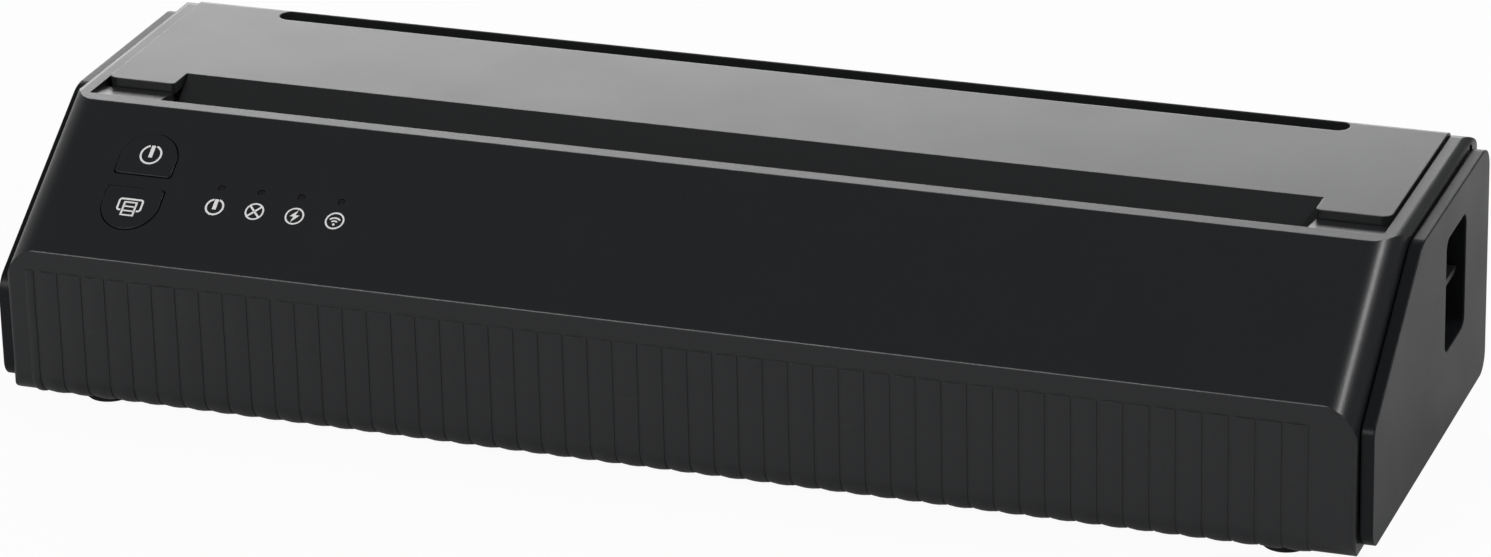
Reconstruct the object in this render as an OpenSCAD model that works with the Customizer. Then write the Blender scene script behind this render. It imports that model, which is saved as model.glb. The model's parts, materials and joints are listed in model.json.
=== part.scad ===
// Portable A4 thermal printer: a flat case with a hinged lid that carries the platen roller.
// X runs along the paper width, Y to the back, Z up; the origin is on the table under the middle.

/* [Case] */
// Length over both end caps
case_l = 275.6; // [274:0.2:300]
// Depth from the rib crests to the rear wall
case_d = 92; // [91:0.5:98]
// Height of the lid's top above the table
case_h = 54.2; // [54:0.1:58]
// Wall of the moulded shells
wall = 2.2; // [1.8:0.1:2.4]
// Slant of the control panel from the level
slant = 34; // [33:0.5:35]
// Length of the control panel up its slope
panel_l = 36.5; // [35.5:0.5:37.5]
// Rounding along the ends of the control panel
panel_r = 6.5; // [4:0.5:7]
// Rounding of the rear top edge
rear_r = 6.5; // [4:0.5:7]
// Rounding of the long lower edges
base_r = 4.5; // [3:0.5:6]
// Rounding of the upright and short edges
edge_r = 1.2; // [0.6:0.1:2]
// Rounding of the rim's outer edge at the ends
shoulder_r = 2; // [1:0.1:2.1]
// Rounding of the panel's lower and upper edge
knee_r = 0.8; // [0.3:0.1:1.2]
// Height of the parting line above the table
seam_z = 17.8; // [16.5:0.1:18.4]
// Height that the rubber feet hold the case up
foot_stand = 2.5; // [2:0.1:3]
// Diameter of a foot
foot_d = 10; // [8:0.5:11]

/* [Ribbed front] */
// Spacing of the ribs
rib_pitch = 5; // [4:0.1:5]
// Width of a groove between two ribs
groove_w = 0.6; // [0.3:0.1:1]
// Height of a rib's crest over the front
rib_h = 0.35; // [0.25:0.05:0.6]
// First groove, in from the left end of the shells
rib_in = 6.3; // [6:0.1:8]
// Last groove, in from the right end of the shells
rib_out = 8.7; // [7:0.1:12]
// Width of the plain pad left of the first groove
lead_pad_w = 2.1; // [1.5:0.1:3]
// Ribs' upper end below the top of the lid
rib_top_drop = 25.1; // [24.2:0.1:27.2]

/* [End caps] */
// Thickness of an end cap
cap_wall = 2.5; // [2:0.1:3]
// Shadow gap between the case and an end cap
cap_gap = 0.3; // [0.2:0.05:0.6]
// How far a cap stays inside the case's outline
cap_inset = 2; // [1.5:0.1:3]
// How far the right cap stays behind the slanted panel
cap_slant_inset = 5.2; // [4:0.1:6]
// How far the left cap stays behind the slanted panel
left_slant_inset = 8.2; // [6:0.1:9]
// Width of the window in a cap
window_w = 15.7; // [12:0.1:16]
// Height of the window in a cap
window_h = 23.4; // [18:0.1:24]
// Middle of the window behind the middle of the case
window_y = 17.6; // [16.5:0.1:18.5]
// Middle of the window above the table
window_z = 33; // [32.5:0.1:33.5]
// Corner radius of the window
window_r = 2.2; // [1:0.1:3]
// Wall of the collar round the window
collar_t = 1.2; // [0.8:0.1:1.4]

/* [Lid] */
// Thickness of the lid's top
lid_t = 2.2; // [1.8:0.1:2.4]
// Height of the lid over the rim
lid_proud = 0.6; // [0.3:0.1:1]
// Gap between the lid and the rim
lid_gap = 0.45; // [0.35:0.05:0.6]
// Width of the rim at the sides
rim_w = 4.05; // [4:0.05:4.5]
// Width of the rim along the front
rim_front = 3.4; // [3:0.1:3.8]
// Depth of the rim at the sides
rim_t = 3.3; // [3:0.1:3.6]
// Width of the lid's corner tabs, beside the notch in its front edge
tab_w = 14.4; // [13.5:0.1:15.5]
// Front edge of the lid's corner tabs, behind the plain front
tab_back = 41.15; // [40.85:0.05:41.45]
// How much further back the front edge of the lid lies in the notch
notch_back = 6.1; // [5.7:0.1:6.5]
// Length of the sloped face below the notch
nose_l = 12.2; // [10:0.1:12.6]
// Thickness of the sloped face
nose_t = 2; // [1.6:0.1:2.2]
// How far the paper slot reaches past the platen at each end
slot_over = 3.7; // [2:0.1:4]
// Width of the paper slot
slot_w = 4.9; // [4.5:0.1:5]
// Strip of lid behind the paper slot
slot_strip = 2.5; // [2.2:0.1:2.7]
// Radius of the lid's rear edge, round the hinge
hinge_r = 3; // [2.8:0.1:3.1]
// Gap behind the lid's rear edge
hinge_gap = 0.4; // [0.3:0.05:0.5]
// Diameter of a hinge pin
hinge_pin_d = 2.4; // [2:0.1:2.8]

/* [Print mechanism] */
// Room beside the platen at each end, for the drive and the release
end_room = 29.8; // [29.3:0.1:30.8]
// Diameter of the platen's rubber
platen_d = 13; // [12:0.2:13.4]
// Diameter of the platen's shaft
shaft_d = 5; // [4:0.5:5.5]
// Platen axis behind the lid's front edge in the notch
platen_back = 2.9; // [2.7:0.1:3.2]
// Platen axis below the top of the lid
platen_drop = 11.2; // [11:0.1:11.4]
// Running clearance of shafts, all round
run_fit = 0.05; // [0.03:0.01:0.08]
// Module of the gears
gear_m = 0.5; // [0.48:0.01:0.51]
// Width of a gear
gear_w = 3.5; // [2.5:0.1:3.6]
// Play between the teeth of two gears
tooth_play = 0.16; // [0.12:0.01:0.2]
// Diameter of the motor
motor_d = 22; // [18:0.5:22]
// Length of the motor
motor_l = 20; // [14:0.5:22]
// Thickness of the steel side plates
plate_t = 1.2; // [1:0.1:1.4]
// Diameter of the bushes on the platen's shaft
bush_d = 9; // [8:0.1:9.4]
// Gap between parts that move past each other
clear = 0.3; // [0.25:0.05:0.35]

/* [Controls] */
// Width of a button
button_w = 11.9; // [11:0.1:12.4]
// Middle of the buttons, in from the left end of the shells
button_in = 22.5; // [22.2:0.1:23]
// Flat edge of the power button, up the panel
power_s = 20.3; // [20:0.1:20.6]
// Height of a button up the panel
button_h = 9.6; // [9.2:0.1:9.8]
// Bar of panel between the two buttons
button_bar = 3.2; // [2.8:0.1:3.6]
// Travel of a button
button_travel = 0.6; // [0.4:0.05:0.65]
// First indicator light, right of the middle of the buttons
light_right = 17.2; // [16.5:0.1:18]
// Spacing of the indicator lights
light_pitch = 8.4; // [8:0.1:8.8]
// Row of the indicator lights, up the panel
light_s = 19.4; // [18.5:0.1:20.5]
// Diameter of an indicator light
light_d = 1.5; // [1.2:0.1:2]

/* [Release sliders] */
// Thickness of a release slider's plate
slider_t = 1.6; // [1.4:0.1:1.7]
// Travel of a release slider
slider_travel = 5; // [3:0.5:5]
// Thickness of a slider's grip rib
grip_t = 1.2; // [1:0.1:2]
// How far a grip rib stands out of its plate
grip_l = 3.6; // [2:0.1:4]

/* [Electronics] */
// Diameter of a battery cell
cell_d = 18.4; // [18:0.1:18.6]
// Length of a battery cell
cell_l = 65; // [60:0.5:68]
// Thickness of a circuit board
board_t = 1.6; // [1:0.1:1.8]

/* [Hidden] */
$fn = 48;

// The case
body_l = case_l - 2 * (cap_wall + cap_gap);
side_x = body_l / 2;
inner_x = side_x - wall;
front_y = -case_d / 2 + rib_h;
rear_y = case_d / 2;
front_in_y = front_y + wall;
rear_in_y = rear_y - wall;
base_z = foot_stand;
floor_z = base_z + wall;
rim_z = case_h - lid_proud;
knee_z = rim_z - panel_l * sin(slant);
rim_y = front_y + panel_l * cos(slant);
rim_in_y = rim_y + rim_front;
rim_in_x = side_x - rim_w;
rear_land_y = rear_in_y - 0.6;
shoulder_z = rim_z - rim_t;
lip_t = 2.2;
lip_y = rim_in_y - lip_t;
rib_start = rib_in - side_x;
rib_count = round((body_l - rib_in - rib_out) / rib_pitch);
rib_top_z = case_h - rib_top_drop;

// The lid and its hinge
under_lid = case_h - lid_t;
lid_x = rim_in_x - lid_gap;
lid_y = rear_land_y - hinge_gap;
tab_y = front_y + tab_back;
notch_y = tab_y + notch_back;
notch_l = 2 * (lid_x - tab_w);
hinge_y = lid_y - hinge_r;
hinge_z = case_h - hinge_r;
slot_y = lid_y - slot_strip - slot_w;
scoop_x = notch_l / 2 + 0.2;
nose_x = notch_l / 2 - 0.3;
nose_end = [notch_y - nose_l * cos(slant), case_h - nose_l * sin(slant)];

// The print mechanism
platen_l = case_l - 2 * end_room;
platen_y = notch_y + platen_back;
platen_z = case_h - platen_drop;
slot_l = platen_l + 2 * slot_over;
wall_x = platen_l / 2 + 2;
arm_t = 3.5;
plate_x = wall_x + arm_t + 1.8;
bush_x = plate_x + plate_t + clear;
gear_x = bush_x + clear;
big_x = gear_x + gear_w + 0.5;
teeth_platen = 24;
teeth_small = 16;
teeth_big = 48;
teeth_pinion = 12;
mesh_r = gear_m * (teeth_platen + teeth_small) / 2;
stage_r = gear_m * (teeth_big + teeth_pinion) / 2;
swing_r = norm([hinge_y - platen_y, hinge_z - platen_z]);
idler_y = platen_y + mesh_r * (hinge_z - platen_z) / swing_r;
idler_z = platen_z - mesh_r * (hinge_y - platen_y) / swing_r;
idler_a = atan2(idler_z - platen_z, idler_y - platen_y);
motor_a = 250;
motor_y = idler_y + stage_r * cos(motor_a);
motor_z = idler_z + stage_r * sin(motor_a);
nip_z = platen_z - platen_d / 2 - clear;
head_x = platen_l / 2 + 1.5;
pivot_y = platen_y + 9;
pivot_z = nip_z - 5.2;
pivot_d = 3;
lip_z = pivot_z + 7;
deck_z = nip_z;
deck_gap = 2.2;
deck_t = 2;
deck_y = platen_y + 13;
bend_r = 15;
slot_ease = 0.7;
bend_y = slot_y + slot_w + slot_ease - bend_r;
bend_z = deck_z + bend_r;
slot_wall_y = slot_y - 1.6;
flange_z = under_lid - 7.6;
flange_x = plate_x + 5.2;
cover_screw_x = plate_x + 2.4;
cover_screw_y = [bend_y - 5.5, bend_y + 4];
flange_y = bend_y - 9;
flange_l = 16;

// Release sliders
slider_x = inner_x - clear - slider_t;
slider_w = window_w + 2 * collar_t + 3;
slider_low = window_z - window_h / 2 - 2.3;
slider_high = shoulder_z - clear;
lug_x = slider_x - 2.1;
spring_seat_z = slider_low - slider_travel - 4.5;
lug_y = window_y - 0.6;

// Electronics
board_z = floor_z + 3.3;
board_x = -80;
board_w = 70;
board_y = -20;
cell_x = 11;
cell_z = floor_z + 0.5 + cell_d / 2;
cell_y = [for (k = [1, 0]) rear_in_y - 1.1 - cell_d / 2 - k * (cell_d + 0.6)];
button_x = button_in - side_x;
light_x = button_x + light_right;
board_s = [4.5, 30];
board_n = 8;
key_board_x = button_x - 12;
key_board_l = 60;
switch_h = 2.4;
stem_n = -board_n + switch_h + button_travel + 0.1;

// Turns a Y-Z outline into a solid of length l along X, about the middle or from x.
module along_x(l) {
    rotate([90, 0, 90]) linear_extrude(l, center = true) children();
}
module from_x(x, l) {
    translate([x, 0, 0]) rotate([90, 0, 90]) linear_extrude(l) children();
}
// Turns an X-Z outline into a solid along Y.
module along_y(y, l) {
    translate([0, y + l, 0]) rotate([90, 0, 0]) linear_extrude(l) children();
}
// A round bar along X.
module bar_x(x, l, y, z, r) {
    translate([x, y, z]) rotate([0, 90, 0]) cylinder(l, r = r);
}
// Puts children on the slanted panel: X along it, Y up the slope, Z out of it.
module on_panel() {
    translate([0, front_y, knee_z]) rotate([slant, 0, 0]) children();
}
// Repeats children at both ends of the case.
module both_ends() {
    children();
    mirror([1, 0, 0]) children();
}

function unit(v) = v / norm(v);

// Waste outside a rounding of radius r at corner p, between its neighbours a and b. Its circle
// is a hair too large, so that it crosses the outline's edges and doesn't only graze them.
graze = 1.0005;
module tip(a, p, b, r) {
    u = unit(a - p);
    v = unit(b - p);
    half = acos(u * v) / 2;
    c = p + unit(u + v) * r / sin(half);
    difference() {
        polygon([c, p + u * r / tan(half), p - unit(u + v) * 0.3, p + v * r / tan(half)]);
        translate(c) circle(r * graze);
    }
}
// An outline whose corners are rounded by the radii in rs.
module rounded(pts, rs) {
    n = len(pts);
    difference() {
        polygon(pts);
        for (i = [0:n - 1])
            if (rs[i] > 0) tip(pts[(i + n - 1) % n], pts[i], pts[(i + 1) % n], rs[i]);
    }
}
module rounded_box2(w, h, r) {
    rounded([[-w / 2, -h / 2], [w / 2, -h / 2], [w / 2, h / 2], [-w / 2, h / 2]], [r, r, r, r]);
}

// Height of the panel's face, or of a face d under it, at y.
function panel_at(y, d = 0) = knee_z - d / cos(slant) + (y - front_y) * tan(slant);

// Section of the whole case.
module case_outline() {
    rounded([[front_y, base_z], [front_y, knee_z], [rim_y, rim_z], [rear_y, rim_z],
        [rear_y, base_z]], [base_r, knee_r, knee_r, rear_r, base_r]);
}
// A bar below the panel whose long upper edges are rounded.
module panel_bar(half, drop, r) {
    on_panel() translate([0, 3 * panel_l, -drop]) rotate([90, 0, 0])
        linear_extrude(4 * panel_l)
            rounded([[-half, -2 * case_d], [half, -2 * case_d], [half, 0], [-half, 0]],
                [0, 0, r, r]);
}
// The case's outer form, with small roundings on its short edges.
module case_form() {
    intersection() {
        along_x(body_l) case_outline();
        panel_bar(side_x, 0, panel_r);
        along_y(front_y - 1, case_d + 2)
            rounded([[-side_x, base_z], [side_x, base_z], [side_x, rim_z], [-side_x, rim_z]],
                [edge_r, edge_r, shoulder_r, shoulder_r]);
        linear_extrude(case_h)
            rounded([[-side_x, front_y], [side_x, front_y], [side_x, rear_y], [-side_x, rear_y]],
                [edge_r, edge_r, edge_r, edge_r]);
    }
}
// The room inside the case, with the lip that hangs down behind the rim.
module case_room() {
    intersection() {
        along_x(2 * inner_x)
            polygon([[front_in_y, floor_z], [front_in_y, panel_at(front_in_y, wall)],
                [lip_y, panel_at(lip_y, wall)], [lip_y, lip_z], [rim_in_y, lip_z],
                [rim_in_y, shoulder_z], [rear_in_y, shoulder_z], [rear_in_y, floor_z]]);
        panel_bar(inner_x, wall, panel_r - wall);
    }
}
// Slabs of the case above and below the parting line.
module above(z) {
    translate([-case_l, -case_d, z]) cube([2 * case_l, 2 * case_d, case_h]);
}
module below(z) {
    translate([-case_l, -case_d, z - case_h]) cube([2 * case_l, 2 * case_d, case_h]);
}

// Plan of the rib pads: low arcs side by side, in X and depth, with the crest at rib_h.
module pad(x, w) {
    crown = 0.6 * rib_h;
    r = w * w / 8 / crown + crown / 2;
    translate([x, 0]) intersection() {
        translate([0, -wall / 2]) square([w, wall]);
        translate([w / 2, rib_h - r]) circle(r);
    }
}
module pads() {
    pad(rib_start - lead_pad_w, lead_pad_w - groove_w / 2);
    for (i = [0:rib_count - 1])
        pad(rib_start + i * rib_pitch + groove_w / 2, rib_pitch - groove_w);
}
// The ribs run down the front, round the lower edge and a little way under the case.
module rib_band() {
    turn_z = base_z + base_r;
    translate([0, front_y, turn_z]) mirror([0, 1, 0])
        linear_extrude(rib_top_z - turn_z) pads();
    translate([0, front_y + base_r, turn_z]) rotate([0, 90, 0]) rotate(-90)
        rotate_extrude(angle = 90) translate([base_r, 0]) rotate(-90) mirror([1, 0]) pads();
}

// Screw places: along the front and the rear of the case.
screw_x = side_x - 5.2;
screw_spots = [for (x = [-screw_x, 0, screw_x], y = [front_y + 7.2, rear_y - 5.2]) [x, y]];
boss_top = knee_z - 3;
foot_spots = [for (x = [-1, 1], y = [-1, 1]) [x * (side_x - 15.7), y * (case_d / 2 - 11)]];
head_spring_x = [for (k = [-1:1]) k * (platen_l / 2 - 20)];
head_spring_y = platen_y - 2.5;
head_spring_z = nip_z - 14.2;
guide_spots = [for (x = [-1, 1], y = [deck_y + 4, bend_y + 12]) [x * (platen_l / 2 - 8), y]];
board_spots = [for (x = [board_x + 4, board_x + board_w - 4], y = [board_y + 4, rear_in_y - 5.8])
    [x, y]];
usb_x = board_x + 30;
usb_w = 9;
usb_h = 3.2;

// Screw bosses from z0 to z1, each with a web to the nearest long wall.
module screw_bosses(z0, z1, r) {
    for (p = screw_spots) {
        translate([p[0], p[1], z0]) cylinder(z1 - z0, r = r);
        translate([p[0] - 1, p[1] < 0 ? front_in_y - 0.5 : p[1], z0])
            cube([2, p[1] < 0 ? p[1] - front_in_y + 0.5 : rear_in_y + 0.5 - p[1], z1 - z0]);
    }
}

module bottom_shell() {
    color([0.09, 0.09, 0.1]) difference() {
        union() {
            intersection() {
                difference() {
                    case_form();
                    case_room();
                }
                below(seam_z);
            }
            intersection() {
                rib_band();
                below(seam_z);
            }
            screw_bosses(base_z + 1, seam_z, 3.4);
            for (p = board_spots) translate([p[0], p[1], base_z + 1])
                cylinder(board_z - base_z - 1, r = 3);
            for (x = head_spring_x) translate([x, head_spring_y, base_z + 1])
                cylinder(head_spring_z - base_z - 1, r = 3.2);
            both_ends() translate([slider_x - 0.2, window_y, base_z + 1])
                cylinder(spring_seat_z - base_z - 1, r = 2);
            for (y = cell_y, x = [cell_x + 11, cell_x + cell_l - 13])
                translate([x, y - 7, base_z + 1]) cube([2, 14, wall + cell_d / 2 - 4]);
        }
        for (p = screw_spots) translate([p[0], p[1], 0]) {
            cylinder(case_h / 2, r = 1.6);
            cylinder(base_z + 5, r = 3);
        }
        for (p = foot_spots) translate([p[0], p[1], 0])
            cylinder(base_z + 1, r = foot_d / 2);
        for (y = cell_y) bar_x(cell_x - 1, cell_l + 2, y, cell_z, cell_d / 2 + 0.02);
        along_y(rear_in_y - 1, wall + 2) translate([usb_x, board_z + board_t + usb_h / 2])
            rounded_box2(usb_w + 0.8, usb_h + 0.8, 1.6);
    }
}

// Outline of a push button on the panel, grown by g: flat on one edge and round on the other.
module button_outline(g, up) {
    r = button_w / 2;
    edge = up > 0 ? power_s : power_s - button_bar;
    translate([button_x, edge]) scale([1, up]) {
        rounded([[-r - g, -g], [r + g, -g], [r + g, button_h - r], [-r - g, button_h - r]],
            [0.8, 0.8, 0, 0]);
        difference() {
            translate([0, button_h - r]) circle(r + g);
            translate([-2 * r, -3 * r - g]) square([4 * r, 3 * r]);
        }
    }
}
button_gap = 0.25;
post_s = [board_s[0] + 3.5, board_s[1] - 3.5];
board_posts = concat([[key_board_x + 2.2, 18.7]],
    [for (x = [key_board_x + 23, key_board_x + key_board_l - 2], s = post_s) [x, s]]);

module top_housing() {
    color([0.1, 0.1, 0.11]) difference() {
        union() {
            intersection() {
                difference() {
                    case_form();
                    case_room();
                    translate([-rim_in_x, rim_in_y, shoulder_z - 1])
                        cube([2 * rim_in_x, rear_land_y - rim_in_y, case_h]);
                }
                above(seam_z);
            }
            intersection() {
                rib_band();
                above(seam_z);
            }
            // Finger scoops under the lid's corner tabs.
            both_ends() from_x(scoop_x, rim_in_x - scoop_x + 0.5)
                polygon([[rim_in_y - 0.5, rim_z - 0.3], [tab_y - lid_gap, under_lid + 0.4],
                    [tab_y - lid_gap, shoulder_z - 0.5], [rim_in_y - 0.5, rim_z - 2.6]]);
            // Paper chute from the print line up to the tear bar.
            along_x(2 * (plate_x - 1))
                polygon([[lip_y, lip_z], [platen_y - 9.3, pivot_z + 2.6],
                    [platen_y - 9.3, pivot_z + 4.2], [rim_in_y, lip_z + 3]]);
            // Posts for the button board.
            on_panel() for (p = board_posts) translate([p[0], p[1], -board_n])
                cylinder(board_n - wall / 2, r = 1.6);
            // Screw bosses, down to the parting line.
            screw_bosses(seam_z, boss_top, 3);
            // Rails of the release sliders.
            both_ends() for (s = [-1, 1]) translate([0, window_y, seam_z])
                scale([1, s, 1]) linear_extrude(shoulder_z - seam_z - 1.8)
                    polygon([[inner_x + 0.5, slider_w / 2 + clear],
                        [inner_x + 0.5, slider_w / 2 + 1.7], [slider_x - 1.4, slider_w / 2 + 1.7],
                        [slider_x - 1.4, slider_w / 2 - 1.2], [slider_x - clear, slider_w / 2 - 1.2],
                        [slider_x - clear, slider_w / 2 + clear]]);
        }
        for (p = screw_spots) translate([p[0], p[1], seam_z - 1]) cylinder(10, r = 1.25);
        both_ends() from_x(inner_x - 1, wall + 2) translate([window_y, window_z])
            rounded_box2(window_w + 2 * collar_t + 0.6, window_h + 2 * collar_t + 0.6,
                window_r + collar_t);
        both_ends() bar_x(lid_x - 1, 6, hinge_y, hinge_z, hinge_pin_d / 2);
        on_panel() {
            for (up = [-1, 1]) translate([0, 0, -wall - 1]) linear_extrude(wall + 2)
                button_outline(button_gap, up);
            for (i = [0:3]) translate([light_x + i * light_pitch, light_s, -wall - 1])
                cylinder(wall + 2, r = light_d / 2);
        }
    }
}

// Outline of an end cap, held back from the case's own section, and by slant from the panel.
module cap_outline(slant_in, nose) {
    y0 = front_y + cap_inset;
    y1 = rear_y - cap_inset;
    z0 = base_z + cap_inset;
    z1 = rim_z - cap_inset;
    top_y = front_y + (z1 - knee_z + slant_in / cos(slant)) / tan(slant);
    rounded([[y0, z0], [y0, panel_at(y0, slant_in)], [top_y, z1], [y1, z1], [y1, z0]],
        [3.5, nose, 7, 5, 4]);
}
peg_z = base_z + 9.5;
cap_pegs = [[front_y + 11.65, peg_z], [front_y + 11.65, peg_z + 10], [2, rim_z - 9.6], [2, peg_z],
    [rear_y - 10, rim_z - 11.6], [rear_y - 10, peg_z]];
module end_cap(slant_in, nose) {
    difference() {
        union() {
            from_x(side_x + cap_gap, cap_wall) cap_outline(slant_in, nose);
            from_x(inner_x + 0.1, wall + 1) translate([window_y, window_z])
                rounded_box2(window_w + 2 * collar_t, window_h + 2 * collar_t, window_r + collar_t);
            for (p = cap_pegs) bar_x(side_x, cap_gap + 0.5, p[0], p[1], 2.5);
        }
        from_x(inner_x - 1, wall + cap_wall + 3) translate([window_y, window_z])
            rounded_box2(window_w, window_h, window_r);
    }
}
module end_cap_right() {
    color([0.15, 0.15, 0.16]) end_cap(cap_slant_inset, 3);
}
module end_cap_left() {
    color([0.15, 0.15, 0.16]) mirror([1, 0, 0]) end_cap(left_slant_inset, 6);
}

module rubber_feet() {
    color([0.05, 0.05, 0.05]) for (p = foot_spots) translate([p[0], p[1], 0]) {
        cylinder(0.6, r1 = foot_d / 2 - 0.6, r2 = foot_d / 2);
        translate([0, 0, 0.6]) cylinder(base_z + 0.4, r = foot_d / 2);
    }
}

// A pan-head screw that points up, with the underside of its head at z = 0.
module screw(l, r, head_r, head_t) {
    cylinder(l, r = r);
    translate([0, 0, -head_t]) difference() {
        cylinder(head_t, r = head_r);
        translate([0, 0, -0.1]) cylinder(head_t * 0.7, r = head_r * 0.45, $fn = 6);
    }
}
module case_screws() {
    color("silver") for (p = screw_spots) translate([p[0], p[1], base_z + 5])
        screw(seam_z - base_z - 5 + 8, 1.25, 2.6, 1.8);
}

module hinge_pins() {
    color("silver") both_ends() bar_x(lid_x - 9, 13, hinge_y, hinge_z, hinge_pin_d / 2);
}

module top_cover() {
    skirt_x = lug_x + clear;
    color([0.13, 0.13, 0.14]) difference() {
        union() {
            translate([0, 0, under_lid]) linear_extrude(lid_t)
                rounded([[-lid_x, tab_y], [-notch_l / 2, tab_y], [-notch_l / 2, notch_y],
                    [notch_l / 2, notch_y], [notch_l / 2, tab_y], [lid_x, tab_y],
                    [lid_x, hinge_y], [-lid_x, hinge_y]], [2, 0.8, 0, 0, 0.8, 2, 0, 0]);
            along_x(2 * lid_x) translate([hinge_y, hinge_z]) {
                circle(hinge_r);
                translate([-hinge_r, -hinge_r + 1]) square([hinge_r, 2 * hinge_r - 1.2]);
            }
            // Sloped face below the notch.
            along_x(2 * nose_x)
                polygon([[notch_y, case_h - 0.02], nose_end,
                    nose_end + nose_t * [sin(slant), -cos(slant)],
                    [notch_y + 3, under_lid - 0.5], [notch_y + 3, case_h - 0.5]]);
            both_ends() {
                translate([skirt_x, 0, under_lid - 2.5]) cube([lid_x - skirt_x, slot_y, 3]);
                for (y = cover_screw_y) translate([cover_screw_x, y, flange_z + 1.6])
                    cylinder(under_lid - flange_z - 1.6 + 0.5, r = 2.5);
            }
            along_x(slot_l + 4) translate([slot_wall_y, under_lid - 6]) square([1.6, 6.5]);
        }
        translate([0, 0, case_h / 2]) linear_extrude(case_h) {
            translate([-slot_l / 2 + slot_w / 2, slot_y]) square([slot_l - slot_w, slot_w]);
            for (s = [-1, 1]) translate([s * (slot_l - slot_w) / 2, slot_y + slot_w / 2])
                circle(slot_w / 2);
        }
        both_ends() {
            bar_x(lid_x - 9.5, 11, hinge_y, hinge_z, hinge_pin_d / 2 + run_fit);
            for (y = cover_screw_y) translate([cover_screw_x, y, flange_z]) cylinder(6, r = 0.9);
        }
    }
}

// Ring sector of the paper bend between radii r1 and r2, from straight down round to angle a.
module bend(r1, r2, a) {
    translate([bend_y, bend_z]) intersection() {
        difference() {
            circle(r2);
            circle(r1);
        }
        polygon([[0, 0], [0, -2 * r2], [2 * r2, -2 * r2], 2 * r2 * [cos(a), sin(a)]]);
    }
}

module inner_cover() {
    arc_r = bend_r - deck_gap;
    color([0.2, 0.2, 0.21]) difference() {
        union() {
            along_x(2 * (wall_x + 1)) {
                translate([deck_y, deck_z + deck_gap]) square([bend_y - deck_y, 1.6]);
                bend(arc_r - 1.6, arc_r, -50);
            }
            both_ends() {
                from_x(wall_x, arm_t) {
                    translate([platen_y, platen_z]) circle(6);
                    difference() {
                        polygon([[notch_y + 3.5, under_lid], [platen_y - 6, platen_z],
                            [platen_y + 6, platen_z], [deck_y, deck_z + deck_gap],
                            [bend_y, deck_z + deck_gap], [slot_wall_y - 0.4, bend_z - 8],
                            [slot_wall_y - 0.4, under_lid]]);
                        translate([bend_y + 0.2, bend_z]) circle(arc_r - 1.6);
                    }
                    translate([bend_y - 4, under_lid - 6]) square([slot_wall_y - bend_y + 3.6, 6]);
                }
                translate([wall_x + arm_t - 0.5, flange_y, flange_z])
                    cube([flange_x - wall_x - arm_t + 0.5, flange_l, 1.6]);
                translate([flange_x - 0.5, lug_y, flange_z])
                    cube([lug_x - flange_x + 0.5, 5, 1.6]);
            }
        }
        both_ends() {
            bar_x(wall_x - 1, arm_t + 2, platen_y, platen_z, bush_d / 2);
            for (y = cover_screw_y) translate([cover_screw_x, y, flange_z - 1]) cylinder(4, r = 1.1);
        }
    }
}
module cover_screws() {
    color("silver") both_ends() for (y = cover_screw_y)
        translate([cover_screw_x, y, flange_z]) screw(5, 0.9, 1.8, 1.2);
}
module platen_bushes() {
    color("ivory") both_ends() difference() {
        bar_x(wall_x, bush_x - wall_x, platen_y, platen_z, bush_d / 2);
        bar_x(wall_x - 1, bush_x, platen_y, platen_z, shaft_d / 2 + run_fit);
    }
}

module platen_rubber() {
    color([0.12, 0.12, 0.12]) difference() {
        bar_x(-platen_l / 2, platen_l, platen_y, platen_z, platen_d / 2);
        bar_x(-platen_l, 2 * platen_l, platen_y, platen_z, shaft_d / 2);
    }
}
module platen_shaft() {
    color("silver") bar_x(-gear_x - gear_w, gear_x + gear_w + bush_x + 0.5, platen_y, platen_z,
        shaft_d / 2);
}

// Involute of an angle, in degrees.
function inv(a) = tan(a) * 180 / PI - a;
// Half the angle that a tooth of a wheel with n teeth spans at radius r.
function tooth_a(n, r) = let(rp = gear_m * n / 2, rb = rp * cos(20))
    90 / n - tooth_play / 4 / rp * 180 / PI + inv(20) - inv(acos(min(1, rb / r)));
function tooth_r(n, k) = gear_m * (n / 2 + [-1.2, 0, 0.9, 0.9, 0, -1.2][k]);
module gear(n, phase) {
    polygon([for (i = [0:n - 1], k = [0:5])
        let(r = tooth_r(n, k), a = phase + i * 360 / n + (k < 3 ? -1 : 1) * tooth_a(n, r))
        r * [cos(a), sin(a)]]);
}
module platen_gear() {
    color("ivory") from_x(-gear_x - gear_w, gear_w) translate([platen_y, platen_z]) difference() {
        gear(teeth_platen, idler_a);
        circle(shaft_d / 2);
    }
}
module reduction_gear() {
    color("ivory") difference() {
        union() {
            from_x(-big_x, big_x - gear_x) translate([idler_y, idler_z])
                gear(teeth_small, idler_a + 180 + 180 / teeth_small);
            from_x(-big_x - gear_w, gear_w) translate([idler_y, idler_z])
                gear(teeth_big, motor_a);
        }
        bar_x(-big_x - gear_w - 1, gear_w * 4, idler_y, idler_z, 1.5 + run_fit);
    }
}
module motor_pinion() {
    color("goldenrod") {
        from_x(-big_x - gear_w, gear_w) translate([motor_y, motor_z])
            gear(teeth_pinion, motor_a + 180 + 180 / teeth_pinion);
        bar_x(-big_x - gear_w, big_x + gear_w - plate_x + 4, motor_y, motor_z, 1);
    }
}
module stepper_motor() {
    color("silver") difference() {
        union() {
            bar_x(-plate_x, motor_l, motor_y, motor_z, motor_d / 2);
            bar_x(-plate_x - plate_t, 2, motor_y, motor_z, 3.5);
        }
        bar_x(-plate_x - 3, 8, motor_y, motor_z, 1 + run_fit);
    }
}

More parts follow.
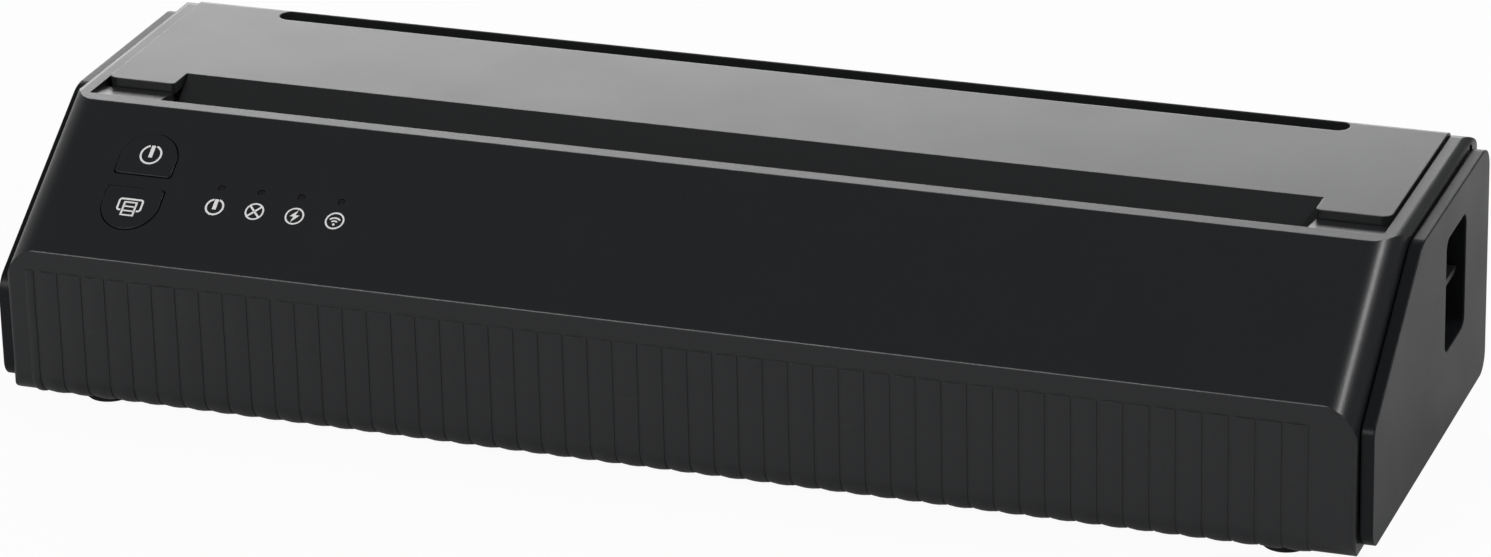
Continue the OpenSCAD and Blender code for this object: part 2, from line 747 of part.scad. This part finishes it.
// Steel side plate that carries the print head and, on the left, the drive.
module side_plate() {
    z1 = platen_z + 2.6;
    seat_r = bush_d / 2 + clear;
    from_x(plate_x, plate_t) difference() {
        polygon([[platen_y - 17, floor_z], [platen_y - 11, z1 - 2], [platen_y - 9, z1],
            [platen_y + 9, z1], [pivot_y + 6, pivot_z + 3], [pivot_y + 6, floor_z]]);
        // An open seat that the bush leaves upwards and a little forwards with the lid.
        translate([platen_y, platen_z]) {
            circle(seat_r);
            polygon([[-seat_r + 0.4, -1.2], [seat_r - 0.4, 0], [seat_r + 0.2, 5],
                [-seat_r - 2, 5]]);
        }
        translate([pivot_y, pivot_z]) circle(pivot_d / 2);
    }
    translate([plate_x - 9, platen_y - 15, floor_z])
        cube([9 + plate_t / 2, pivot_y - platen_y + 19, plate_t]);
}
module bearing_plate() {
    color([0.7, 0.7, 0.72]) side_plate();
}
module gear_plate() {
    color([0.7, 0.7, 0.72]) {
        difference() {
            mirror([1, 0, 0]) side_plate();
            bar_x(-plate_x - 2, 4, motor_y, motor_z, 3.5);
        }
        bar_x(-big_x - gear_w - 1.2, big_x + gear_w + 1.2 - plate_x, idler_y, idler_z, 1.5);
    }
}

module heat_sink() {
    y0 = platen_y - 8;
    color([0.75, 0.76, 0.78]) along_x(2 * head_x) difference() {
        union() {
            translate([y0, nip_z - 4]) square([pivot_y + 3 - y0, 3]);
            translate([y0, nip_z - 5.4]) square([1.5, 2]);
            translate([pivot_y, pivot_z]) circle(3);
            translate([pivot_y - 3, pivot_z]) square([6, nip_z - 1 - pivot_z]);
        }
        translate([pivot_y, pivot_z]) circle(pivot_d / 2 + run_fit);
    }
}
module thermal_head() {
    color([0.85, 0.83, 0.78]) along_x(2 * head_x - 1)
        rounded([[platen_y - 7, nip_z - 1], [platen_y + 7, nip_z - 1], [platen_y + 7, nip_z - 0.4],
            [platen_y + 3, nip_z], [platen_y - 6.4, nip_z], [platen_y - 7, nip_z - 0.6]],
            [0, 0, 0, 0, 0, 0]);
}
module head_shaft() {
    color("silver") bar_x(-plate_x - plate_t, 2 * (plate_x + plate_t), pivot_y, pivot_z,
        pivot_d / 2);
}

// A helical spring that stands on z = 0: outer radius r, wire radius w, height h.
module spring(r, w, h, turns) {
    steps = 8;
    sides = 6;
    n = turns * steps;
    ring = [for (i = [0:n]) let(a = i * 360 / steps, z = w + (h - 2 * w) * i / n)
        for (j = [0:sides - 1]) let(b = j * 360 / sides, q = r - w + w * cos(b))
            [q * cos(a), q * sin(a), z + w * sin(b)]];
    side = [for (i = [0:n - 1], j = [0:sides - 1])
        let(k = (j + 1) % sides, a = i * sides, b = a + sides)
        each [[a + j, b + j, b + k], [a + j, b + k, a + k]]];
    polyhedron(ring, concat(side, [[for (j = [0:sides - 1]) j]],
        [[for (j = [sides - 1:-1:0]) n * sides + j]]));
}
module head_springs() {
    color("silver") for (x = head_spring_x) translate([x, head_spring_y, head_spring_z])
        spring(2.4, 0.3, nip_z - 4 - head_spring_z, 6);
}

module tear_bar() {
    teeth = 86;
    pitch = 2.5;
    half = teeth * pitch / 2;
    z = rim_z - 4;
    color("silver") along_y(rim_in_y, 0.8)
        polygon(concat([[half, z - 7], [-half, z - 7]],
            [for (i = [0:teeth]) each i < teeth
                ? [[-half + i * pitch, z], [-half + (i + 0.5) * pitch, z + 1]]
                : [[half, z]]]));
}

module paper_guide() {
    color([0.16, 0.16, 0.17]) {
        along_x(2 * (plate_x - 0.8)) {
            translate([deck_y, deck_z - deck_t]) square([bend_y - deck_y, deck_t]);
            bend(bend_r, bend_r + deck_t, -15);
        }
        for (p = guide_spots) translate([p[0], p[1], floor_z])
            cylinder((p[1] < bend_y ? deck_z - 1 : bend_z - 11) - floor_z, r = 2.5);
    }
}
module paper_sensor() {
    color([0.1, 0.1, 0.1]) translate([30, deck_y + 3, deck_z - deck_t - 3]) cube([6, 4, 3]);
}

module button(up) {
    on_panel() {
        translate([0, 0, -wall - 0.6]) linear_extrude(wall + 0.8) button_outline(0, up);
        translate([0, 0, -wall - clear - 0.9]) linear_extrude(0.9) button_outline(1, up);
        translate([button_x, button_mid(up), stem_n]) cylinder(-wall - 1 - stem_n, r = 1.8);
    }
}
function button_mid(up) = up > 0 ? power_s + button_h / 2 : power_s - button_bar - button_h / 2;
module power_button() {
    color([0.12, 0.12, 0.13]) button(1);
}
module feed_button() {
    color([0.12, 0.12, 0.13]) button(-1);
}
module button_board() {
    color("darkgreen") on_panel() translate([key_board_x, board_s[0], -board_n - board_t])
        cube([key_board_l, board_s[1] - board_s[0], board_t]);
}
module tact_switches() {
    color([0.2, 0.2, 0.2]) on_panel() for (up = [-1, 1])
        translate([button_x, button_mid(up), -board_n]) {
            translate([-3, -3, 0]) cube([6, 6, 2]);
            cylinder(switch_h, r = 1.6);
        }
}
module light_guide() {
    color([0.9, 0.9, 0.9, 0.6]) on_panel() {
        for (i = [0:3]) translate([light_x + i * light_pitch, light_s, -board_n + 0.8])
            cylinder(board_n - 0.9, r = light_d / 2 - 0.1);
        translate([light_x - 4, light_s - 1.5, -5.5])
            cube([3 * light_pitch + 8, 3, 1.5]);
        for (i = [-1, 1]) translate([light_x + 1.5 * light_pitch
            + i * (1.5 * light_pitch + 3), light_s, -board_n]) cylinder(3, r = 0.9);
    }
}

module release_slider() {
    translate([slider_x, window_y - slider_w / 2, slider_low])
        cube([slider_t, slider_w, slider_high - slider_low]);
    translate([slider_x + slider_t - 0.2, window_y - window_w / 2 + 0.8, window_z - grip_t / 2])
        cube([grip_l + 0.2, window_w - 1.6, grip_t]);
    translate([lug_x + clear, window_y - 3, flange_z + 2]) cube([slider_x - lug_x, 5, 2]);
    translate([slider_x - 1.6, window_y - 3, slider_low]) cube([2, 6, 1.5]);
}
module release_slider_right() {
    color([0.08, 0.08, 0.09]) release_slider();
}
module release_slider_left() {
    color([0.08, 0.08, 0.09]) mirror([1, 0, 0]) release_slider();
}
module release_spring() {
    translate([slider_x - 0.2, window_y, spring_seat_z])
        spring(1.8, 0.25, slider_low - spring_seat_z, 6);
}
module release_spring_right() {
    color("silver") release_spring();
}
module release_spring_left() {
    color("silver") mirror([1, 0, 0]) release_spring();
}

module battery_cells() {
    color("steelblue") for (y = cell_y) bar_x(cell_x, cell_l, y, cell_z, cell_d / 2);
}
module main_board() {
    color("darkgreen") translate([board_x, board_y, board_z])
        cube([board_w, rear_in_y - 1 - board_y, board_t]);
}
module board_parts() {
    z = board_z + board_t;
    color([0.2, 0.2, 0.2]) {
        translate([board_x + 24, board_y + 16, z]) cube([12, 12, 1.4]);
        translate([board_x + 46, board_y + 22, z]) cube([7, 7, 1.2]);
        translate([board_x + 8, board_y + 32, z]) cube([8, 5, 2.5]);
        translate([board_x + 42, board_y + 2, z]) cube([22, 5, 3]);
        for (k = [0:2]) translate([board_x + 58, board_y + 34 + 8 * k, z]) cylinder(6, r = 3);
    }
}
module usb_socket() {
    color("silver") along_y(rear_y - 0.6 - 7.4, 7.4)
        translate([usb_x, board_z + board_t + usb_h / 2]) difference() {
            rounded_box2(usb_w, usb_h, 1.5);
            rounded_box2(usb_w - 0.6, usb_h - 0.6, 1.2);
        }
}
module head_cable() {
    z0 = board_z + board_t + 3;
    z1 = z0 + 5.4;
    y0 = board_y + 4;
    color("ivory") translate([board_x + 53, 0, 0]) along_x(16)
        polygon([[y0, z0], [y0 + 0.4, z0], [y0 + 0.4, z1], [platen_y - 0.6, nip_z - 5],
            [platen_y - 0.6, nip_z - 4.6], [platen_y - 1.2, nip_z - 4.6], [y0, z1 + 0.4]]);
}

bottom_shell();
top_housing();
end_cap_left();
end_cap_right();
rubber_feet();
case_screws();
hinge_pins();
top_cover();
inner_cover();
cover_screws();
platen_bushes();
platen_rubber();
platen_shaft();
platen_gear();
reduction_gear();
motor_pinion();
stepper_motor();
gear_plate();
bearing_plate();
heat_sink();
thermal_head();
head_shaft();
head_springs();
tear_bar();
paper_guide();
paper_sensor();
power_button();
feed_button();
button_board();
tact_switches();
light_guide();
release_slider_left();
release_slider_right();
release_spring_left();
release_spring_right();
battery_cells();
main_board();
board_parts();
usb_socket();
head_cable();
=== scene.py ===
"""A portable A4 thermal printer in black moulded plastic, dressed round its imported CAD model."""

import json
import math

import bmesh
import bpy
from mathutils import Matrix, Quaternion, Vector


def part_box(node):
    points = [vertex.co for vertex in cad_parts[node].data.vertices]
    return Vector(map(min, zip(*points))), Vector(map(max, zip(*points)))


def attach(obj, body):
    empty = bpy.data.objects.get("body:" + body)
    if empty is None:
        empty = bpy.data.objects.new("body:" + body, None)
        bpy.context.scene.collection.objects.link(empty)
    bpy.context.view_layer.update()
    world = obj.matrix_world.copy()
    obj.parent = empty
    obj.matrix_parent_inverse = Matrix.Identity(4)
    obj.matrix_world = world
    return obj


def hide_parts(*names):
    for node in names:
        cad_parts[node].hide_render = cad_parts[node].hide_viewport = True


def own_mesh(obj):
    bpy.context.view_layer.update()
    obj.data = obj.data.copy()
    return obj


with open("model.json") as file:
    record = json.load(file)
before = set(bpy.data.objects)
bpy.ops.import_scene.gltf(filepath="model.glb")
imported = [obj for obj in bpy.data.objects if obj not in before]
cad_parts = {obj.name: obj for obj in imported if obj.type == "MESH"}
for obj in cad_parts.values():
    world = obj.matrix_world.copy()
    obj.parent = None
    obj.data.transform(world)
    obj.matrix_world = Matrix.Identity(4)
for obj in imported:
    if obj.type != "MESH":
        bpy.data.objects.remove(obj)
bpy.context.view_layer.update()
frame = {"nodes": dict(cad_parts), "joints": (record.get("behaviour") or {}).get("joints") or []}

# --- Case shells ---
# The bottom tray and the top housing are injection moulded in black ABS. The tool is spark
# eroded, so the plastic has a fine even grain that breaks its gloss up.

nodes = frame["nodes"]
MM = 0.001


def moulded_plastic(name, colour, roughness, grain_depth=0.014, edge=0.25, shine=0.38):
    """Plastic from a spark-eroded tool: a fine grain, faint clouds in the gloss, eased edges.
    The depth of the grain and the radius of the edges are in millimetres."""
    mottle = 0.04
    material = bpy.data.materials.new(name)
    material.use_nodes = True
    tree = material.node_tree
    shader = tree.nodes["Principled BSDF"]
    shader.inputs["Base Color"].default_value = (*colour, 1)
    shader.inputs["IOR"].default_value = 1.5
    shader.inputs["Specular IOR Level"].default_value = shine
    place = tree.nodes.new("ShaderNodeTexCoord")
    clouds = tree.nodes.new("ShaderNodeTexNoise")
    clouds.inputs["Scale"].default_value = 60
    clouds.inputs["Detail"].default_value = 4
    gloss = tree.nodes.new("ShaderNodeMapRange")
    gloss.inputs["To Min"].default_value = roughness - mottle
    gloss.inputs["To Max"].default_value = roughness + mottle
    grain = tree.nodes.new("ShaderNodeTexNoise")
    grain.inputs["Scale"].default_value = 3200
    grain.inputs["Detail"].default_value = 2
    bump = tree.nodes.new("ShaderNodeBump")
    bump.inputs["Distance"].default_value = grain_depth * MM
    bump.inputs["Strength"].default_value = 1
    eased = tree.nodes.new("ShaderNodeBevel")
    eased.samples = 6
    eased.inputs["Radius"].default_value = edge * MM
    tree.links.new(eased.outputs["Normal"], bump.inputs["Normal"])
    tree.links.new(place.outputs["Object"], clouds.inputs["Vector"])
    tree.links.new(place.outputs["Object"], grain.inputs["Vector"])
    tree.links.new(clouds.outputs["Fac"], gloss.inputs["Value"])
    tree.links.new(gloss.outputs["Result"], shader.inputs["Roughness"])
    tree.links.new(grain.outputs["Fac"], bump.inputs["Height"])
    tree.links.new(bump.outputs["Normal"], shader.inputs["Normal"])
    return material


def finished(name, material):
    """Gives a CAD node its one material."""
    slots = nodes[name].data.materials
    slots.clear()
    slots.append(material)


shell_black = moulded_plastic("shell_black", (0.0138, 0.0146, 0.0161), 0.31, edge=0.07)
for name in ("bottom_shell", "top_housing"):
    finished(name, shell_black)

# --- End caps ---
# Each cap is a separate plate of black plastic, duller than the shells and rounder at its
# edges, that clips over the end of the case. Its window shows the grip of the release slider.

cap_black = moulded_plastic("cap_black", (0.0085, 0.0092, 0.0104), 0.34, edge=0.6, shine=0.15)
for name in ("end_cap_left", "end_cap_right"):
    finished(name, cap_black)

# --- Feet and case screws ---
# Four rubber discs are pressed into round pockets under the case. Six screws hold the two
# shells together from below.

rubber = moulded_plastic("foot_rubber", (0.018, 0.018, 0.018), 0.75, grain_depth=0.02)
finished("rubber_feet", rubber)


def metal(name, colour, roughness, streaks=0.0, along=0):
    """Bare metal. Streaks turn its gloss into the fine lines of rolling or turning."""
    along_lines, across_lines = 12, 900
    material = bpy.data.materials.new(name)
    material.use_nodes = True
    tree = material.node_tree
    shader = tree.nodes["Principled BSDF"]
    shader.inputs["Base Color"].default_value = (*colour, 1)
    shader.inputs["Metallic"].default_value = 1
    place = tree.nodes.new("ShaderNodeTexCoord")
    stretch = tree.nodes.new("ShaderNodeMapping")
    stretch.inputs["Scale"].default_value = [
        along_lines if axis == along else across_lines for axis in range(3)]
    lines = tree.nodes.new("ShaderNodeTexNoise")
    lines.inputs["Scale"].default_value = 1
    lines.inputs["Detail"].default_value = 3
    gloss = tree.nodes.new("ShaderNodeMapRange")
    gloss.inputs["To Min"].default_value = roughness
    gloss.inputs["To Max"].default_value = roughness + streaks
    tree.links.new(place.outputs["Object"], stretch.inputs["Vector"])
    tree.links.new(stretch.outputs["Vector"], lines.inputs["Vector"])
    tree.links.new(lines.outputs["Fac"], gloss.inputs["Value"])
    tree.links.new(gloss.outputs["Result"], shader.inputs["Roughness"])
    return material


zinc = metal("zinc_plate", (0.62, 0.63, 0.66), 0.28, streaks=0.1)
finished("case_screws", zinc)

# --- Lid ---
# The top cover is the lid's outer moulding. The inner cover hangs from it on four screws and
# holds the bushes of the platen. The pins of the hinge are ground steel.

cover_black = moulded_plastic("cover_black", (0.0165, 0.0172, 0.0182), 0.3, edge=0.35)
finished("top_cover", cover_black)
frame_black = moulded_plastic("frame_black", (0.02, 0.02, 0.021), 0.5)
finished("inner_cover", frame_black)
finished("cover_screws", zinc)
ground_steel = metal("ground_steel", (0.6, 0.6, 0.61), 0.18, streaks=0.08)
finished("hinge_pins", ground_steel)

# --- Platen roller ---
# A ground rubber sleeve is bonded to a steel shaft that turns in two acetal bushes and
# carries a moulded gear at its left end.

platen_grey = moulded_plastic("platen_rubber", (0.035, 0.035, 0.036), 0.62, grain_depth=0.01)
finished("platen_rubber", platen_grey)
finished("platen_shaft", ground_steel)
acetal = moulded_plastic("acetal", (0.72, 0.7, 0.64), 0.38, grain_depth=0.004)
finished("platen_bushes", acetal)
finished("platen_gear", acetal)

# --- Drive ---
# A stepper motor drives the platen through a reduction gear. Motor and gear sit on a pressed
# steel plate, and its twin at the right end carries the other end of the print head.

pressed_steel = metal("pressed_steel", (0.55, 0.55, 0.56), 0.35, streaks=0.12, along=1)
finished("gear_plate", pressed_steel)
finished("bearing_plate", pressed_steel)
finished("stepper_motor", zinc)
finished("reduction_gear", acetal)
brass = metal("brass", (0.78, 0.57, 0.26), 0.25, streaks=0.08)
finished("motor_pinion", brass)

# --- Print head ---
# A glazed ceramic strip is bonded to an aluminium heat sink that rocks on a steel shaft.
# Three springs press it up against the platen.

aluminium = metal("aluminium", (0.78, 0.79, 0.8), 0.32, streaks=0.15)
finished("heat_sink", aluminium)
glaze = moulded_plastic("glaze", (0.62, 0.6, 0.55), 0.12, grain_depth=0.001)
finished("thermal_head", glaze)
finished("head_shaft", ground_steel)
spring_steel = metal("spring_steel", (0.5, 0.5, 0.52), 0.22)


def coil(node_name):
    """Wound wire: a welded, smooth-shaded copy of a CAD spring, fixed to the base."""
    seam = 0.001 * MM
    wire = bmesh.new()
    wire.from_mesh(nodes[node_name].data)
    bmesh.ops.remove_doubles(wire, verts=wire.verts, dist=seam)
    bmesh.ops.recalc_face_normals(wire, faces=wire.faces)
    for face in wire.faces:
        face.smooth = True
    spring = bpy.data.objects.new(f"{node_name}_wire", bpy.data.meshes.new(f"{node_name}_wire"))
    wire.to_mesh(spring.data)
    wire.free()
    spring.data.materials.append(spring_steel)
    bpy.context.scene.collection.objects.link(spring)
    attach(spring, "base")
    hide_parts(node_name)
    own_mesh(spring)


coil("head_springs")

# --- Paper path ---
# A toothed strip of stainless steel tears the paper at the exit. The lower guide is moulded,
# and a small optical sensor looks through it.

stainless = metal("stainless", (0.6, 0.6, 0.62), 0.24, streaks=0.1)
finished("tear_bar", stainless)
finished("paper_guide", frame_black)
finished("paper_sensor", frame_black)

# --- Buttons ---
# Two D-shaped keys stand back to back. Each is moulded in the case's black with a little more
# gloss, and its sign is pad printed in white.

button_black = moulded_plastic("button_black", (0.0138, 0.0146, 0.0161), 0.29)
finished("power_button", button_black)
finished("feed_button", button_black)

press_axis = next(j["axis"] for j in frame["joints"] if j["name"] == "power_press")
out_of_panel = -Vector(press_axis).normalized()
up_panel = out_of_panel.cross(Vector((1, 0, 0)))
KEY_PROUD = 0.2 * MM
INK = 0.02 * MM
LINE = 0.4 * MM


def key_face(name):
    """Middle of a key's face along X and up the panel, and its height out of the panel."""
    flat = 0.01 * MM
    corners = [v.co for v in nodes[name].data.vertices]
    top = max(c.dot(out_of_panel) for c in corners)
    face = [c for c in corners if c.dot(out_of_panel) > top - flat]
    across = [c.x for c in face]
    up = [c.dot(up_panel) for c in face]
    return (min(across) + max(across)) / 2, (min(up) + max(up)) / 2, top


def arc(ink, x, y, radius, start, sweep, line=LINE):
    """A curved stroke round a point, from start through sweep, in degrees."""
    fewest_steps, degrees_a_step = 6, 7
    turn = math.radians(start)
    ends = [ink.verts.new((x + r * math.cos(turn), y + r * math.sin(turn), 0))
            for r in (radius - line / 2, radius + line / 2)]
    edge = ink.edges.new(ends)
    bmesh.ops.spin(ink, geom=[*ends, edge], cent=(x, y, 0), axis=(0, 0, 1), dvec=(0, 0, 0),
                   angle=math.radians(sweep),
                   steps=max(fewest_steps, round(abs(sweep) / degrees_a_step)),
                   use_merge=sweep == 360, use_duplicate=False)


def bar(ink, x0, y0, x1, y1, line=LINE):
    """A straight stroke between two points, stretched from a square of side 1."""
    run = Vector((x1 - x0, y1 - y0, 0))
    place = (Matrix.Translation(((x0 + x1) / 2, (y0 + y1) / 2, 0))
             @ Matrix.Rotation(math.atan2(run.y, run.x), 4, "Z")
             @ Matrix.Diagonal((run.length, line, 1, 1)))
    bmesh.ops.create_grid(ink, x_segments=1, y_segments=1, size=0.5, matrix=place)


def power_sign(ink, x, y, radius):
    """An open ring with a thick stroke that runs in through the opening."""
    opening = 40
    stroke_foot, stroke_tip = 0.3 * radius, 0.92 * radius
    arc(ink, x, y, radius - LINE / 2, 90 + opening / 2, 360 - opening)
    bar(ink, x, y - stroke_foot, x, y + stroke_tip, 2 * LINE)


def page_sign(ink, x, y):
    """A printer's outline with a lined page in front of it."""
    wide, top, foot, r = 2.45 * MM, y + 1.75 * MM, y - 0.85 * MM, 0.5 * MM
    page, page_top, page_foot = 1.25 * MM, y + 0.85 * MM, y - 1.75 * MM
    lines, lowest_line, line_run, thin_line = 4, y - 1.95 * MM, 3 * MM, 0.32 * MM
    for side in (-1, 1):
        bar(ink, x + side * wide, foot + r, x + side * wide, top - r)
        arc(ink, x + side * (wide - r), top - r, r, 0 if side > 0 else 90, 90)
        arc(ink, x + side * (wide - r), foot + r, r, -90 if side > 0 else 180, 90)
        bar(ink, x + side * (wide - r), foot, x + side * (page + LINE), foot)
        bar(ink, x + side * page, page_foot, x + side * page, page_top)
    bar(ink, x - wide + r, top, x + wide - r, top)
    for k in range(lines):
        level = lowest_line + k * line_run / (lines - 1)
        over = LINE / 2 if k in (0, lines - 1) else 0
        bar(ink, x - page - over, level, x + page + over, level, thin_line)


ink_white = bpy.data.materials.new("ink_white")
ink_white.use_nodes = True
ink_shader = ink_white.node_tree.nodes["Principled BSDF"]
ink_shader.inputs["Base Color"].default_value = (0.85, 0.85, 0.85, 1)
ink_shader.inputs["Roughness"].default_value = 0.5


def printed(name, ink, out, body):
    """Turns flat strokes into a thin layer of ink on the panel, out of it by a height."""
    bmesh.ops.translate(ink, verts=ink.verts, vec=(0, 0, out))
    bmesh.ops.solidify(ink, geom=ink.faces[:], thickness=-INK)
    bmesh.ops.transform(ink, verts=ink.verts, matrix=Matrix(
        ((1, 0, 0), up_panel, out_of_panel)).transposed().to_4x4())
    bmesh.ops.recalc_face_normals(ink, faces=ink.faces)
    mark = bpy.data.objects.new(name, bpy.data.meshes.new(name))
    ink.to_mesh(mark.data)
    ink.free()
    mark.data.materials.append(ink_white)
    bpy.context.scene.collection.objects.link(mark)
    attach(mark, body)


power_sign_r, power_sign_right, page_sign_up = 2.3 * MM, 0.3 * MM, 0.3 * MM
key_x, key_up, key_top = key_face("power_button")
panel_top = key_top - KEY_PROUD
ink = bmesh.new()
power_sign(ink, key_x + power_sign_right, key_up, power_sign_r)
printed("power_mark", ink, key_top, "power_key")
key_x, key_up, key_top = key_face("feed_button")
ink = bmesh.new()
page_sign(ink, key_x, key_up + page_sign_up)
printed("feed_mark", ink, key_top, "feed_key")

# --- Button board ---
# A small glass-fibre board behind the panel carries the two switches. The light guide of
# smoked plastic leads its four lamps to the panel.

board_green = moulded_plastic("board_green", (0.01, 0.06, 0.03), 0.3, grain_depth=0.002)
finished("button_board", board_green)
finished("tact_switches", frame_black)
smoked = moulded_plastic("smoked_guide", (0.004, 0.004, 0.0045), 0.5, grain_depth=0.002)
finished("light_guide", smoked)

# --- Indicator marks ---
# Four signs stand below the four pin lights: power, fault, charging and a wireless link.
# They are pad printed on the panel in the white of the keys.

THIN = 0.34 * MM
sign_r, sign_row, guide_end = 1.95 * MM, 2.65 * MM, 4 * MM
first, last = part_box("light_guide")
light_x = first.x + guide_end
light_pitch = (last.x - first.x - 2 * guide_end) / 3
row = key_up + sign_row
ink = bmesh.new()
power_sign(ink, light_x, row, sign_r)
for k in range(1, 4):
    arc(ink, light_x + k * light_pitch, row, sign_r - THIN / 2, 0, 360, THIN)
reach = (sign_r - THIN) * math.sqrt(0.5)
fault_x = light_x + light_pitch
for rise in (-1, 1):
    bar(ink, fault_x - reach, row - rise * reach, fault_x + reach, row + rise * reach)
bolt = [(0.5, 1.45), (-1.0, -0.1), (-0.15, -0.1), (-0.5, -1.45), (1.0, 0.25), (0.15, 0.25)]
charge_x = light_x + 2 * light_pitch
ink.faces.new([ink.verts.new((charge_x + x * MM, row + y * MM, 0)) for x, y in bolt])
dot_r, dot_line = 0.14 * MM, 0.24 * MM
radio_x = light_x + 3 * light_pitch
radio_foot = row - 0.85 * MM
for radius in (0.8 * MM, 1.5 * MM):
    arc(ink, radio_x, radio_foot, radius, 45, 90, THIN)
arc(ink, radio_x, radio_foot, dot_r, 0, 360, dot_line)
printed("indicator_marks", ink, panel_top, "base")

# --- Release sliders ---
# One moulded plate behind each window, with a grip rib for the thumb and a hook over the
# lid's lug. A coil spring lifts it back.

slider_black = moulded_plastic("slider_black", (0.012, 0.012, 0.0125), 0.4)
for side in ("left", "right"):
    finished(f"release_slider_{side}", slider_black)
    coil(f"release_spring_{side}")

# --- Battery and electronics ---
# Two sleeved lithium cells, the main board with its parts, the charging socket and the flat
# cable to the print head.

cell_sleeve = moulded_plastic("cell_sleeve", (0.03, 0.16, 0.2), 0.35, grain_depth=0.003)
finished("battery_cells", cell_sleeve)
finished("main_board", board_green)
finished("board_parts", frame_black)
finished("usb_socket", zinc)
cable_film = moulded_plastic("cable_film", (0.75, 0.72, 0.62), 0.4, grain_depth=0.002)
finished("head_cable", cable_film)

# --- Floor, light and camera ---
# A flat floor that shows white to the camera and keeps the object's shadow. A wide lamp stands
# in front, a card behind and a long strip at the right. The room darkens upwards and rightwards.

floor_mesh = bmesh.new()
bmesh.ops.create_grid(floor_mesh, x_segments=1, y_segments=1, size=6)
floor = bpy.data.objects.new("floor", bpy.data.meshes.new("floor"))
floor_mesh.to_mesh(floor.data)
floor_mesh.free()
bpy.context.scene.collection.objects.link(floor)
paper_white = bpy.data.materials.new("paper_white")
paper_white.use_nodes = True
tree = paper_white.node_tree
shade = tree.nodes["Principled BSDF"]
shade.inputs["Base Color"].default_value = (0.8, 0.8, 0.8, 1)
shade.inputs["Roughness"].default_value = 0.9
glow = tree.nodes.new("ShaderNodeEmission")
glow.inputs["Color"].default_value = (1, 1, 1, 1)
glow.inputs["Strength"].default_value = 1
seen = tree.nodes.new("ShaderNodeLightPath")
white_share = 0.95
part = tree.nodes.new("ShaderNodeMath")
part.operation = "MULTIPLY"
part.inputs[1].default_value = white_share
mix = tree.nodes.new("ShaderNodeMixShader")
tree.links.new(seen.outputs["Is Camera Ray"], part.inputs[0])
tree.links.new(part.outputs["Value"], mix.inputs["Fac"])
tree.links.new(shade.outputs["BSDF"], mix.inputs[1])
tree.links.new(glow.outputs["Emission"], mix.inputs[2])
tree.links.new(mix.outputs["Shader"], tree.nodes["Material Output"].inputs["Surface"])
floor.data.materials.append(paper_white)

world = bpy.data.worlds.new("studio")
bpy.context.scene.world = world
world.use_nodes = True
tree = world.node_tree
backdrop = tree.nodes["Background"]
backdrop.inputs["Color"].default_value = (1, 1, 1, 1)
backdrop.inputs["Strength"].default_value = 1
room = tree.nodes.new("ShaderNodeBackground")
direction = tree.nodes.new("ShaderNodeTexCoord")
height = tree.nodes.new("ShaderNodeSeparateXYZ")
dimming = tree.nodes.new("ShaderNodeMapRange")
dimming.inputs["From Min"].default_value = 0.3
dimming.inputs["From Max"].default_value = 0.75
dimming.inputs["To Min"].default_value = 0.55
dimming.inputs["To Max"].default_value = 0.2
dark_side = tree.nodes.new("ShaderNodeMapRange")
dark_side.inputs["From Min"].default_value = -0.2
dark_side.inputs["From Max"].default_value = 0.45
dark_side.inputs["To Min"].default_value = 1
dark_side.inputs["To Max"].default_value = 0.4
level = tree.nodes.new("ShaderNodeMath")
level.operation = "MULTIPLY"
seen = tree.nodes.new("ShaderNodeLightPath")
mix = tree.nodes.new("ShaderNodeMixShader")
tree.links.new(direction.outputs["Generated"], height.inputs["Vector"])
tree.links.new(height.outputs["Z"], dimming.inputs["Value"])
tree.links.new(height.outputs["X"], dark_side.inputs["Value"])
tree.links.new(dimming.outputs["Result"], level.inputs[0])
tree.links.new(dark_side.outputs["Result"], level.inputs[1])
tree.links.new(level.outputs["Value"], room.inputs["Strength"])
tree.links.new(seen.outputs["Is Camera Ray"], mix.inputs["Fac"])
tree.links.new(room.outputs["Background"], mix.inputs[1])
tree.links.new(backdrop.outputs["Background"], mix.inputs[2])
tree.links.new(mix.outputs["Shader"], tree.nodes["World Output"].inputs["Surface"])


def softbox(name, place, target, width, height, power):
    """A rectangular lamp that faces a point."""
    lamp = bpy.data.lights.new(name, "AREA")
    lamp.shape = "RECTANGLE"
    lamp.size = width
    lamp.size_y = height
    lamp.energy = power
    holder = bpy.data.objects.new(name, lamp)
    holder.location = place
    holder.rotation_mode = "QUATERNION"
    holder.rotation_quaternion = (Vector(target) - Vector(place)).to_track_quat("-Z", "Y")
    bpy.context.scene.collection.objects.link(holder)


softbox("key", (-0.66, -1.62, 1.06), (0, 0, 0.03), width=1.1, height=0.22, power=16)
softbox("back_card", (-0.38, 0.75, 0.24), (0, 0, 0.05), width=0.9, height=0.3, power=2.9)
softbox("right_strip", (0.9, 0.12, 1.1), (0.1, 0, 0.04), width=0.9, height=0.12, power=9)

bpy.context.scene.view_settings.view_transform = "Standard"
camera = bpy.data.objects.new("camera", bpy.data.cameras.new("camera"))
bpy.context.scene.collection.objects.link(camera)
bpy.context.scene.camera = camera
camera.location = (0.38596, -1.04773, 0.49097)
sight = Vector((-0.316813, 0.866837, -0.384998))
roll = Quaternion((0, 0, 1), math.radians(-1.356))
camera.rotation_mode = "QUATERNION"
camera.rotation_quaternion = sight.to_track_quat("-Z", "Y") @ roll
camera.data.sensor_width = 36
camera.data.lens = 150.56
camera.data.shift_x = -0.00527
camera.data.shift_y = -0.00217
camera.data.clip_start = 0.05
camera.data.clip_end = 20
